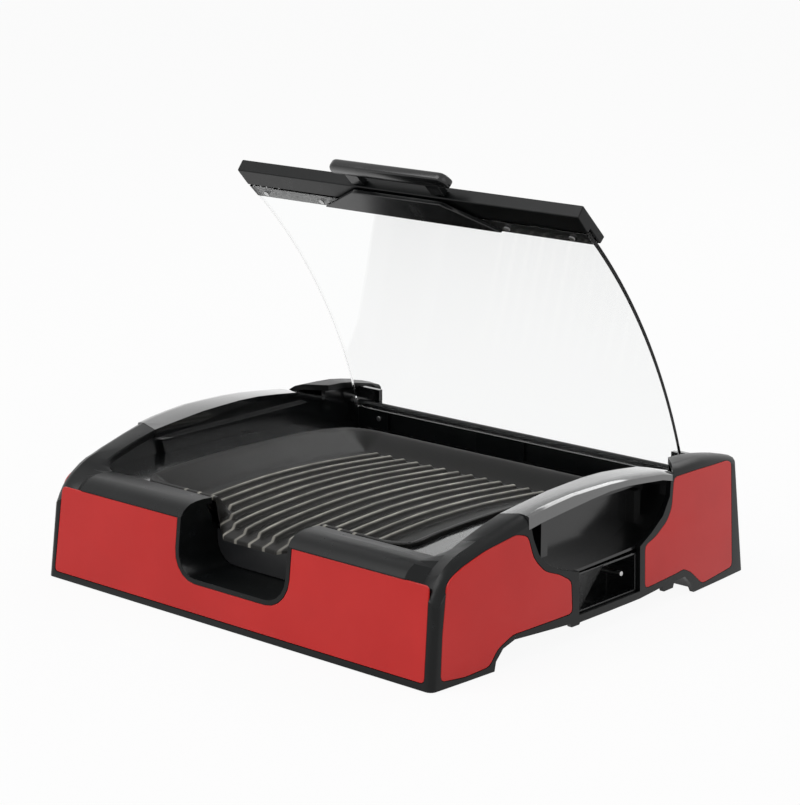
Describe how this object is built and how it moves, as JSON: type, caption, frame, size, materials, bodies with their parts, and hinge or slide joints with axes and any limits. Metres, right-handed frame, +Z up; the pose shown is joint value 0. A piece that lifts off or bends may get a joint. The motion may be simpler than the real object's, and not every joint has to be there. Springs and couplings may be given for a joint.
{
  "type": "electric table grill",
  "caption": "Table-top electric grill with a ribbed plate, a hinged curved glass lid shown open, a slide-out drip tray and coloured side panels.",
  "frame": {"origin": "centre of the footprint, on the table", "axes": "+X to the right along the front, +Y to the back where the lid is hinged, +Z up"},
  "size_m": [0.4344, 0.3968, 0.3421],
  "materials": {
    "matte_black": "fine-grained matte dark grey plastic",
    "gloss_black": "polished near-black plastic",
    "red_gloss": "glossy red moulded panel",
    "plate_coating": "die-cast aluminium with a dark speckled non-stick coating",
    "clear_glass": "clear bent tempered glass, faintly green at its edges",
    "sheet_steel": "plain rolled sheet steel",
    "fastener_steel": "plated steel",
    "tray_coating": "dark coated steel",
    "element_steel": "heat-tinted steel tube",
    "foot_rubber": "black rubber"
  },
  "bodies": {
    "base": {"base_housing": "matte_black", "panel_front": "red_gloss", "panel_right_front": "red_gloss", "panel_right_rear": "red_gloss", "panel_left_front": "red_gloss", "panel_left_rear": "red_gloss", "rim_bridge_right": "gloss_black", "rim_bridge_left": "gloss_black", "hand_recess_right": "gloss_black", "hand_recess_left": "gloss_black", "inner_deck": "gloss_black", "terminal_pin_front": "fastener_steel", "terminal_pin_rear": "fastener_steel", "socket_housing": "gloss_black", "heating_element": "element_steel", "element_bracket_front": "sheet_steel", "element_bracket_rear": "sheet_steel", "heat_reflector": "sheet_steel", "bottom_cover": "matte_black", "foot_front_right": "foot_rubber", "foot_rear_right": "foot_rubber", "cover_screw_front_right": "fastener_steel", "cover_screw_rear_right": "fastener_steel", "foot_front_left": "foot_rubber", "foot_rear_left": "foot_rubber", "cover_screw_front_left": "fastener_steel", "cover_screw_rear_left": "fastener_steel"},
    "lid": {"lid_glass": "clear_glass", "lid_strip": "matte_black", "lid_grip_block": "gloss_black", "lid_handle": "gloss_black", "lid_hinge_bar": "matte_black", "hinge_clip_left": "matte_black", "hinge_clip_middle": "matte_black", "hinge_clip_right": "matte_black", "hinge_pin_right": "fastener_steel", "hinge_screw_right": "fastener_steel", "strip_screw_inner_right": "fastener_steel", "strip_screw_outer_right": "fastener_steel", "hinge_pin_left": "fastener_steel", "hinge_screw_left": "fastener_steel", "strip_screw_inner_left": "fastener_steel", "strip_screw_outer_left": "fastener_steel"},
    "plate": {"grill_plate": "plate_coating"},
    "tray": {"drip_tray": "tray_coating"}
  },
  "joints": [
    {"name": "lid_hinge", "type": "hinge", "parent": "base", "child": "lid", "pos_m": [0, 0.1562, 0.0875], "axis": [1, 0, 0], "range_deg": [0, 54]},
    {"name": "plate_lift", "type": "slide", "parent": "base", "child": "plate", "axis": [0, 0, 1], "range_m": [0, 0.08]},
    {"name": "tray_slide", "type": "slide", "parent": "base", "child": "tray", "axis": [0, -1, 0], "range_m": [0, 0.25]}
  ]
}
